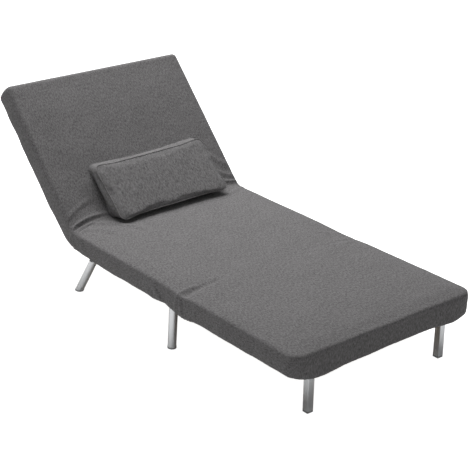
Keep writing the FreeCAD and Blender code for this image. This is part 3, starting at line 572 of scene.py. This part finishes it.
def side_push(x, y, z, cloth, along_x, along_y):
    """Sides drawn in at their middle, full at half height and a little uneven."""
    pull = (np.where(along_x, 1 - ((y - LENGTH / 2) / (LENGTH / 2)) ** 2, 0)
            + np.where(along_y, 1 - (x / HALF) ** 2, 0))
    fullness = np.sin(np.clip((TOP - z) / (TOP - HEM), 0, 1) * math.pi)
    return -SIDE_PULL * np.clip(pull, 0, 1) + SIDE_FULL * fullness + uneven(cloth, SIDE_UNEVEN)


def dress(points, cloth, down, outs):
    """Gives the flat form its crown, drawn-in sides, creases, sag, hem waves and folds."""
    x, y, z = points[:, 0].copy(), points[:, 1].copy(), points[:, 2].copy()
    out_x, out_y = outs[:, 0], outs[:, 1]
    front = np.where(out_y < -TOWARDS, 1.0, 0.0)
    near = np.where(out_x < -TOWARDS, 1.0, 0.0)
    far = np.where(out_x > TOWARDS, 1.0, 0.0)
    on_top = smooth(1 - down / TOP_FADE)
    side = ramp(down, SIDE_START, SIDE_RUN)
    moved = points.copy()
    round_front(moved, x, y)
    moved[:, 2] += top_relief(x, y, cloth) * on_top
    push = side * side_push(x, y, z, cloth, np.abs(out_x) > FACING, np.abs(out_y) > FACING)
    moved += outs * push[:, None]

    low = smooth((DROP_START - z) / (DROP_START - HEM))
    wave = FRONT_DROP * smooth((FRONT_DROP_HALF - np.abs(x)) / FRONT_DROP_RUN) + bells(x, FRONT_DROPS)
    hang = bells(y, SIDE_DROPS)
    moved[:, 2] -= low * (front * wave + near * hang + far * FAR_DROP_SHARE * hang)

    run = cloth[:, 0] * np.abs(out_y) + cloth[:, 1] * np.abs(out_x)
    gathers = np.sin(2 * math.pi * run / GATHER_PITCH + uneven(cloth, GATHER_UNEVEN))
    hem = smooth((HEM + GATHER_TOP - z) / GATHER_RUN) * side
    strong = GATHER_HEIGHT + bells(y, GATHER_BUNCH) * (near + far)
    moved[:, 2] += hem * strong * gathers
    moved += outs * (hem * strong * GATHER_OUT * gathers)[:, None]

    lift = sum(fold(cloth, *ridge) for ridge in NEAR_FOLDS + FAR_FOLDS + HINGE_FOLDS)
    moved[:, 2] += lift * on_top
    moved += outs * (lift * (1 - on_top) * side)[:, None]
    return moved


# The crease at the recline pivot: the stretch of cloth that it takes up, and its radius by height.
CREASE_ROOM = 0.13
CREASE_EASE = 0.05
CREASE_HEIGHTS = [-0.03, 0.0, 0.055]
CREASE_RADII = [0.030, 0.020, 0.0045]


def raised(points):
    """Turns the flat bed's back up to rest: cloth is squeezed above the pivot and stretched below it."""
    t = points[:, 1] - PIVOT_REACH
    h = points[:, 2] - PIVOT_Z
    tilt = math.tan(REST / 2)
    taken = h * tilt * (1 - np.clip(1 - np.abs(t) / CREASE_ROOM, 0, 1) ** 2)
    run = np.sign(t) * (np.abs(t) - taken)
    radius = np.interp(h, CREASE_HEIGHTS, CREASE_RADII)
    reach = np.sqrt(run ** 2 + 4 * radius ** 2)
    ahead, behind = (run + reach) / 2, (reach - run) / 2
    far = np.clip((np.abs(t) - CREASE_ROOM) / CREASE_EASE, 0, 1)
    ahead = ahead * (1 - far) + np.maximum(run, 0) * far
    behind = behind * (1 - far) + np.maximum(-run, 0) * far
    out = points.copy()
    out[:, 1] = FRONT_Y + PIVOT_REACH - h * tilt - behind + ahead * math.cos(REST)
    out[:, 2] = PIVOT_Z + h + ahead * math.sin(REST)
    return out


def turned_up(points):
    """Turns flat-bed points, already in the frame's place, with the back to its rest angle."""
    turn = Matrix.Translation(pivot) @ Matrix.Rotation(REST, 4, "X") @ Matrix.Translation(-pivot)
    return np.array([tuple(turn @ Vector(point)) for point in points])


def lay_cloth(mesh, places):
    """Keeps where each point lies on the cloth, which its texture follows."""
    attribute = mesh.attributes.new("cloth_place", "FLOAT_VECTOR", "POINT")
    attribute.data.foreach_set("vector", np.asarray(places, np.float32).ravel())


def shown(name, data):
    piece = bpy.data.objects.new(name, data)
    bpy.context.scene.collection.objects.link(piece)
    return piece


def mesh_piece(name, points, faces, material, cloth=None):
    mesh = bpy.data.meshes.new(name)
    mesh.from_pydata([tuple(point) for point in points], [],
                     [tuple(int(i) for i in face) for face in faces])
    mesh.materials.append(material)
    mesh.shade_smooth()
    if cloth is not None:
        lay_cloth(mesh, cloth)
    return shown(name, mesh)


def cover_pieces():
    """The whole cover, cut at a hidden line on the seat so that each half crosses one joint."""
    points, cloth, down, outs, faces = flat_cover()
    dressed = dress(points, cloth, down, outs)
    placed = raised(dressed)
    whole = mesh_piece("whole_cover", placed, faces, COVER_CLOTH)
    normals = np.zeros(len(placed) * 3, np.float32)
    whole.data.vertex_normals.foreach_get("vector", normals)
    normals = normals.reshape(-1, 3)
    bpy.data.objects.remove(whole)
    rear = np.array([np.mean([points[i, 1] for i in face]) > SEAM_REACH for face in faces])
    made = {}
    for name, chosen in [("cover_front", ~rear), ("cover_rear", rear)]:
        kept = [face for face, take in zip(faces, chosen) if take]
        used = np.unique(np.concatenate([np.array(face) for face in kept]))
        fresh = np.full(len(placed), -1)
        fresh[used] = np.arange(len(used))
        faces_kept = [[fresh[i] for i in face] for face in kept]
        piece = mesh_piece(name, placed[used], faces_kept, COVER_CLOTH, cloth[used])
        piece.data.normals_split_custom_set_from_vertices([tuple(n) for n in normals[used]])
        made[name] = piece
    return made["cover_front"], made["cover_rear"]


cover_front, cover_rear = cover_pieces()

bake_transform(cover_front)
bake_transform(cover_rear)
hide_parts("foot_cover")
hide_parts("seat_cover", "back_cover")


def closed_form(columns, rows, levels, place):
    """Points and faces of a closed block: a ring at each level and a gridded lid at both ends."""
    border = [(x, rows[0]) for x in columns[:-1]] + [(columns[-1], y) for y in rows[:-1]] \
        + [(x, rows[-1]) for x in columns[:0:-1]] + [(columns[0], y) for y in rows[:0:-1]]
    count = len(border)
    points = [place(x, y, level) for level in range(levels) for x, y in border]
    faces = []
    for level in range(levels - 1):
        for here in range(count):
            ahead = (here + 1) % count
            faces.append((level * count + here, level * count + ahead, (level + 1) * count + ahead,
                          (level + 1) * count + here))
    for level, flip in [(0, True), (levels - 1, False)]:
        index = {spot: level * count + at for at, spot in enumerate(border)}
        for y in rows:
            for x in columns:
                if (x, y) not in index:
                    index[(x, y)] = len(points)
                    points.append(place(x, y, level))
        for low_y, high_y in zip(rows, rows[1:]):
            for low_x, high_x in zip(columns, columns[1:]):
                face = [index[(low_x, low_y)], index[(high_x, low_y)],
                        index[(high_x, high_y)], index[(low_x, high_y)]]
                faces.append(face[::-1] if flip else face)
    return np.array(points), faces, count


# Foam pads on the slats, seen from underneath between them. Their lining shows below, cloth elsewhere.
PAD_SOFT = 0.012
PAD_STEP = PAD_SOFT * 0.3
PAD_INSET = 0.05
PAD_COLUMNS = 24
PAD_ROWS = 22
PAD_BELOW_TOP = 0.020
PAD_OVER_SLATS = 0.0006
PAD_SKIN = 0.001
PAD_HALF = HALF - 0.012
PAD_HALF_BY_LEGS = HALF - 0.043
PAD_END = 0.008
HINGE_GAP = 0.004
PIVOT_GAP = 0.002
WEDGE = math.tan(math.radians(39.3))


def pad_form(half, low_reach, high_reach, low, high, wedge_low, wedge_high):
    """A closed pad with soft edges; its ends may lean away with height."""
    columns = np.concatenate([[-half, -half + PAD_STEP, -half + PAD_SOFT],
                              np.linspace(-half + PAD_INSET, half - PAD_INSET, PAD_COLUMNS),
                              [half - PAD_SOFT, half - PAD_STEP, half]])
    rows = np.linspace(low_reach, high_reach, PAD_ROWS)
    levels = [low, low + PAD_STEP, low + PAD_SOFT, (low + high) / 2,
              high - PAD_SOFT, high - PAD_STEP, high]
    drawn = [PAD_SOFT, PAD_STEP, 0, 0, 0, PAD_STEP, PAD_SOFT]

    def place(x, y, level):
        above = max(levels[level] - PIVOT_Z, 0)
        share = (y - low_reach) / (high_reach - low_reach)
        start = low_reach + wedge_low * above + drawn[level]
        end = high_reach - wedge_high * above - drawn[level]
        return (x * (half - drawn[level]) / half, start + (end - start) * share, levels[level])

    return closed_form(columns, rows, len(levels), place)[:2]


def pad_piece(name, node, half, low_reach, high_reach, wedge_low, wedge_high, body):
    low, high = SLATS_HIGH[2] + PAD_OVER_SLATS, TOP - PAD_BELOW_TOP
    flat, faces = pad_form(half, low_reach, high_reach, low, high, wedge_low, wedge_high)
    flat[:, 2] += uneven(flat, PAD_UNEVEN) * (flat[:, 2] < low + PAD_SKIN)
    flat[:, 2] = np.maximum(flat[:, 2], low)
    flat[:, 1] += FRONT_Y
    points = turned_up(flat) if body == "back" else flat
    piece = mesh_piece(name, points, faces, LINING, flat)
    piece.data.materials.append(COVER_CLOTH)
    for face in piece.data.polygons:
        underneath = max(flat[i][2] for i in face.vertices) < low + PAD_SOFT + PAD_SKIN
        face.material_index = 0 if underneath else 1
    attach(piece, body)
    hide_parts(node)


pad_piece("pad_foot", "foot_foam", PAD_HALF_BY_LEGS, PAD_END, HINGE_REACH - HINGE_GAP, 0, 0, "foot")
pad_piece("pad_seat", "seat_foam", PAD_HALF, HINGE_REACH + HINGE_GAP, PIVOT_REACH - PIVOT_GAP, 0, WEDGE,
          "seat")
pad_piece("pad_back", "back_foam", PAD_HALF, PIVOT_REACH + PIVOT_GAP, LENGTH - PAD_END, WEDGE, 0, "back")


# The loose pillow: two crowned panels sewn to a boxing strip, blown up by simulation. It thins
# towards its top, sags towards the seat and lies a little askew. It is sewn smaller than it ends up.
PILLOW_WIDE = PILLOW_HIGH[0] - PILLOW_LOW[0] + 0.042
PILLOW_MIDDLE_X = (PILLOW_HIGH[0] + PILLOW_LOW[0]) / 2 + 0.043
PILLOW_TALL = 0.234
PILLOW_DEEP = 0.072
PILLOW_START = 0.004
PILLOW_SAG = 0.048
PILLOW_TAPER = 0.36
PILLOW_TILT = 0.016
PILLOW_BASE = CREST + 0.0004
PILLOW_CORNER = 0.026
PILLOW_CUT = (0.004, 0.004, 0.008)
PILLOW_CROWN = 0.004
PILLOW_CELL = 0.008
PILLOW_LAYERS = 6
PILLOW_SEAM = 0.0032
SEAM_OUT = 0.0006
STRIP_EDGE = 0.012
PANEL_SHARE = 0.7
STUFFING = 4.0
STUFFING_FRAMES = 20
SWELL = 0.010


def pillow_shape():
    """A boxed pillow in its own upright frame: wide x, tall y, deep z, with its seam rings."""
    full = (PILLOW_WIDE, PILLOW_TALL, PILLOW_DEEP)
    wide, tall, deep = (size - cut for size, cut in zip(full, PILLOW_CUT))
    columns = np.linspace(-0.5, 0.5, round(wide / PILLOW_CELL) + 1) * wide
    rows = np.linspace(-0.5, 0.5, round(tall / PILLOW_CELL) + 1) * tall

    def place(x, y, level):
        inner_x, inner_y = wide / 2 - PILLOW_CORNER, tall / 2 - PILLOW_CORNER
        over_x, over_y = abs(x) - inner_x, abs(y) - inner_y
        if over_x > 0 and over_y > 0:
            grow = max(over_x, over_y) / math.hypot(over_x, over_y)
            x, y = math.copysign(inner_x + over_x * grow, x), math.copysign(inner_y + over_y * grow, y)
        return (x, y, deep * level / PILLOW_LAYERS)

    points, faces, count = closed_form(columns, rows, PILLOW_LAYERS + 1, place)
    top = PILLOW_LAYERS * count
    return points, faces, [list(range(count)), list(range(top, top + count))]


def blown_up(piece, pressure, frames, limit):
    """Runs a short cloth simulation under inner pressure and keeps how far each point moved, capped."""
    start = np.array([vertex.co for vertex in piece.data.vertices])
    cloth = piece.modifiers.new("stuffing", "CLOTH")
    cloth.settings.quality = 6
    cloth.settings.mass = 0.25
    cloth.settings.tension_stiffness = 25
    cloth.settings.compression_stiffness = 25
    cloth.settings.shear_stiffness = 12
    cloth.settings.bending_stiffness = 1.2
    cloth.settings.air_damping = 4
    cloth.settings.use_pressure = True
    cloth.settings.uniform_pressure_force = pressure
    cloth.settings.effector_weights.gravity = 0
    cloth.collision_settings.use_collision = False
    for number in range(1, frames + 1):
        bpy.context.scene.frame_set(number)
    filled = piece.evaluated_get(bpy.context.evaluated_depsgraph_get())
    end = np.array([vertex.co for vertex in filled.data.vertices])
    piece.modifiers.clear()
    bpy.context.scene.frame_set(1)
    move = end - start
    far = np.linalg.norm(move, axis=1)
    scale = np.minimum(1, limit / np.maximum(far, TINY))
    return start + move * scale[:, None]


def seam_cord(name, ring, material):
    """A thin piped seam along a closed ring of points."""
    curve = bpy.data.curves.new(name, "CURVE")
    curve.dimensions = "3D"
    curve.bevel_depth = PILLOW_SEAM / 2
    curve.bevel_resolution = 2
    line = curve.splines.new("POLY")
    line.points.add(len(ring) - 1)
    for point, place in zip(line.points, ring):
        point.co = (*place, 1)
    line.use_cyclic_u = True
    made = bpy.data.objects.new(name, curve)
    bpy.context.scene.collection.objects.link(made)
    mesh = bpy.data.meshes.new_from_object(made)
    bpy.data.objects.remove(made)
    mesh.materials.clear()
    mesh.materials.append(material)
    mesh.shade_smooth()
    lay_cloth(mesh, [vertex.co for vertex in mesh.vertices])
    return shown(name, mesh)


def on_back(points):
    """Moves points from the pillow's own frame onto the raised back."""
    thin = 1 - PILLOW_TAPER * np.clip(points[:, 1] / PILLOW_TALL + 0.5, 0, 1)
    points = points * np.stack([np.ones(len(points)), np.ones(len(points)), thin], axis=1)
    slide = points[:, 0] * PILLOW_TILT - points[:, 2] / PILLOW_DEEP * PILLOW_SAG
    bend = PIVOT_REACH + (TOP - PIVOT_Z) * math.tan(REST / 2)
    middle_y = FRONT_Y + bend + PILLOW_START + PILLOW_TALL / 2
    middle = np.array([PILLOW_MIDDLE_X, middle_y, PILLOW_BASE])
    return turned_up(points + np.outer(slide, [0, 1, 0]) + middle)


def unrolled(points):
    """Where the pillow's points lie on its cloth, the boxing strip folded out round the panels."""
    cloth = points.copy()
    for axis, span in [(0, PILLOW_WIDE), (1, PILLOW_TALL)]:
        on_strip = np.abs(points[:, axis]) > span / 2 - STRIP_EDGE
        cloth[:, axis] += np.where(on_strip, points[:, 2] * np.sign(points[:, axis]), 0)
    return cloth


def make_pillow():
    points, faces, seams = pillow_shape()
    piece = mesh_piece("pillow", points, faces, PILLOW_CLOTH_PAINTED_LIGHT)
    shape = blown_up(piece, STUFFING, STUFFING_FRAMES, SWELL)
    shape[:, 2] -= shape[:, 2].min()
    shape[:, 2] *= min(1, (PILLOW_DEEP + PILLOW_CROWN) / shape[:, 2].max())
    rings = [shape[ring] for ring in seams]
    settled = shape.copy()
    settled[:, 2] += uneven(points, PILLOW_UNEVEN) * (points[:, 2] > PILLOW_DEEP * PANEL_SHARE)
    settled[:, 2] = np.maximum(settled[:, 2], 0)
    piece.data.vertices.foreach_set("co", on_back(settled).astype(np.float32).ravel())
    lay_cloth(piece.data, unrolled(points))
    smoothing = piece.modifiers.new("softness", "SUBSURF")
    smoothing.levels = smoothing.render_levels = 1
    piece.data.update()
    cords = []
    for name, ring in zip(("pillow_seam_rear", "pillow_seam_front"), rings):
        outward = ring - ring.mean(axis=0)
        outward[:, 2] = 0
        outward /= np.linalg.norm(outward, axis=1)[:, None]
        cords.append(seam_cord(name, on_back(ring + outward * SEAM_OUT), PIPING_PAINTED_HIGHLIGHT))
    return piece, cords


pillow, seam_cords = make_pillow()
for piece in [pillow] + seam_cords:
    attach(piece, "pillow")
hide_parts("lumbar_pillow")


# Studio: pale floor, even sky and one broad lamp overhead, behind the back.
FLOOR_REACH = 30.0
FLOOR_WHITE = (0.90, 0.90, 0.90, 1)
FLOOR_LIFT = 0.95
SKY_ON_THINGS = 0.18
SKY_SEEN = 1.0
LAMP_SIZE = 3.2
LAMP_POWER = 151
LAMP_PLACE = (0.35, 1.75, 3.6)
LAMP_TARGET = (0, -0.1, 0.2)


def floor_piece():
    mesh = bpy.data.meshes.new("floor")
    corners = [(-FLOOR_REACH, -FLOOR_REACH), (FLOOR_REACH, -FLOOR_REACH),
               (FLOOR_REACH, FLOOR_REACH), (-FLOOR_REACH, FLOOR_REACH)]
    mesh.from_pydata([(x, y, 0) for x, y in corners], [], [(0, 1, 2, 3)])
    material, tree, shader = new_material("pale_floor")
    shader.inputs["Base Color"].default_value = FLOOR_WHITE
    shader.inputs["Roughness"].default_value = 0.9
    shader.inputs["Specular IOR Level"].default_value = 0.0
    shader.inputs["Emission Color"].default_value = WHITE
    light_path = tree.nodes.new("ShaderNodeLightPath")
    lift = add(tree, "ShaderNodeMath", [(0, light_path.outputs["Is Camera Ray"])], _operation="MULTIPLY")
    lift.inputs[1].default_value = FLOOR_LIFT
    tree.links.new(lift.outputs[0], shader.inputs["Emission Strength"])
    mesh.materials.append(material)
    piece = shown("floor", mesh)


def studio():
    world = bpy.data.worlds.new("studio")
    bpy.context.scene.world = world
    world.use_nodes = True
    tree = world.node_tree
    background = tree.nodes["Background"]
    background.inputs["Color"].default_value = WHITE
    path = tree.nodes.new("ShaderNodeLightPath")
    seen = add(tree, "ShaderNodeMath",
               [(0, path.outputs["Is Camera Ray"]), (1, path.outputs["Is Glossy Ray"])],
               _operation="MAXIMUM")
    clear = add(tree, "ShaderNodeMath", [(0, seen.outputs[0]), (1, path.outputs["Is Transmission Ray"])],
                _operation="MAXIMUM")
    level = add(tree, "ShaderNodeMapRange", [("Value", clear.outputs[0])],
                **{"To Min": SKY_ON_THINGS, "To Max": SKY_SEEN})
    tree.links.new(level.outputs[0], background.inputs["Strength"])
    lamp = bpy.data.lights.new("overhead", "AREA")
    lamp.shape = "DISK"
    lamp.size = LAMP_SIZE
    lamp.energy = LAMP_POWER
    holder = shown("overhead", lamp)
    holder.location = LAMP_PLACE
    holder.rotation_euler = (Vector(LAMP_TARGET) - holder.location).to_track_quat("-Z", "Y").to_euler()


# The photograph's viewing angle, from a camera fitted to its edges and leg feet.
AZIMUTH, ELEVATION, ROLL = (math.radians(value) for value in (-38.9, 22.5, 0.72))
CAMERA_DISTANCE = 4.896
CAMERA_TARGET = Vector((0, 0.04451, 0.3))
CAMERA_LENS = 103.02
CAMERA_SENSOR = 36
CAMERA_SHIFT = (0.0464, -0.0362)


def photo_camera():
    level = math.cos(ELEVATION)
    back = Vector((math.sin(AZIMUTH) * level, -math.cos(AZIMUTH) * level, math.sin(ELEVATION)))
    right = Vector((math.cos(AZIMUTH), math.sin(AZIMUTH), 0))
    up = back.cross(right)
    turned_right = right * math.cos(ROLL) + up * math.sin(ROLL)
    turned_up_way = up * math.cos(ROLL) - right * math.sin(ROLL)
    camera = bpy.data.cameras.new("photo_camera")
    camera.lens = CAMERA_LENS
    camera.sensor_width = CAMERA_SENSOR
    camera.shift_x, camera.shift_y = CAMERA_SHIFT
    holder = shown("photo_camera", camera)
    axes = Matrix((turned_right, turned_up_way, back)).transposed().to_4x4()
    holder.matrix_world = Matrix.Translation(CAMERA_TARGET + back * CAMERA_DISTANCE) @ axes
    bpy.context.scene.camera = holder


floor_piece()
studio()
photo_camera()
bpy.context.scene.view_settings.view_transform = "Standard"
